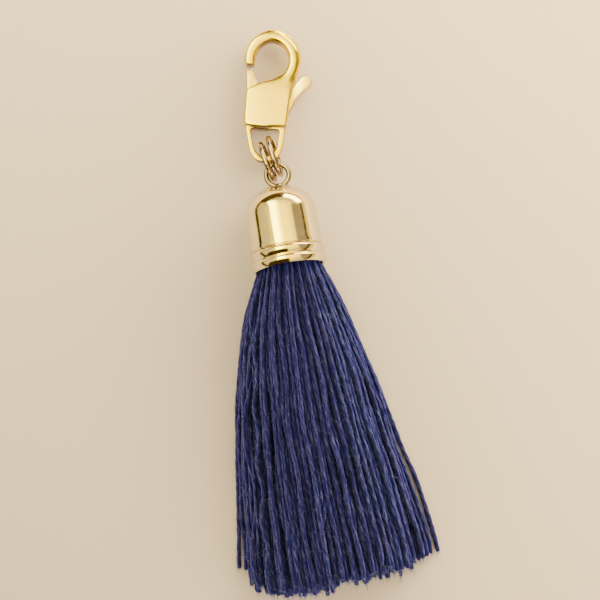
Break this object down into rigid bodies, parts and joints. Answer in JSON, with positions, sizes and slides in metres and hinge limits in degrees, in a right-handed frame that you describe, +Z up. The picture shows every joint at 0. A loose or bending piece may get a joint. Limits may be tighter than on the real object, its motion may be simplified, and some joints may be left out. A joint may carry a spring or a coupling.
{
  "type": "yarn tassel with bell cap and lobster clasp",
  "caption": "Flat-lying yarn tassel fused into a metal bell cap, linked by jump rings to a sprung lobster clasp that hooks it to a bag, key ring or zip pull.",
  "frame": {"origin": "middle of the bounding box on the table that the tassel lies on", "axes": "+Y along the tassel from its hem to its clasp, +Z up from the table, +X across the skirt towards the clasp's thumb lever"},
  "size_m": [0.0222, 0.0645, 0.0087],
  "materials": {
    "yarn": "navy plied spun yarn, matt and slightly fuzzy, with cut ends",
    "cap_metal": "pale gold plating, polished",
    "ring_metal": "pale gold plated round wire, slightly rosier than the cap",
    "clasp_metal": "pale gold plating, satin polished"
  },
  "bodies": {
    "tassel": {"yarn_skirt": "yarn", "bell_cap": "cap_metal", "jump_ring_left": "ring_metal", "jump_ring_right": "ring_metal", "clasp_body": "clasp_metal"},
    "gate": {"clasp_gate": "clasp_metal"}
  },
  "joints": [
    {"name": "gate_hinge", "type": "hinge", "parent": "tassel", "child": "gate", "pos_m": [0.0004, 0.02437, 0.0015], "axis": [0, 0, -1], "range_deg": [0, 27], "stiffness_Nm_per_rad": 0.01, "springref_deg": -5.73}
  ]
}
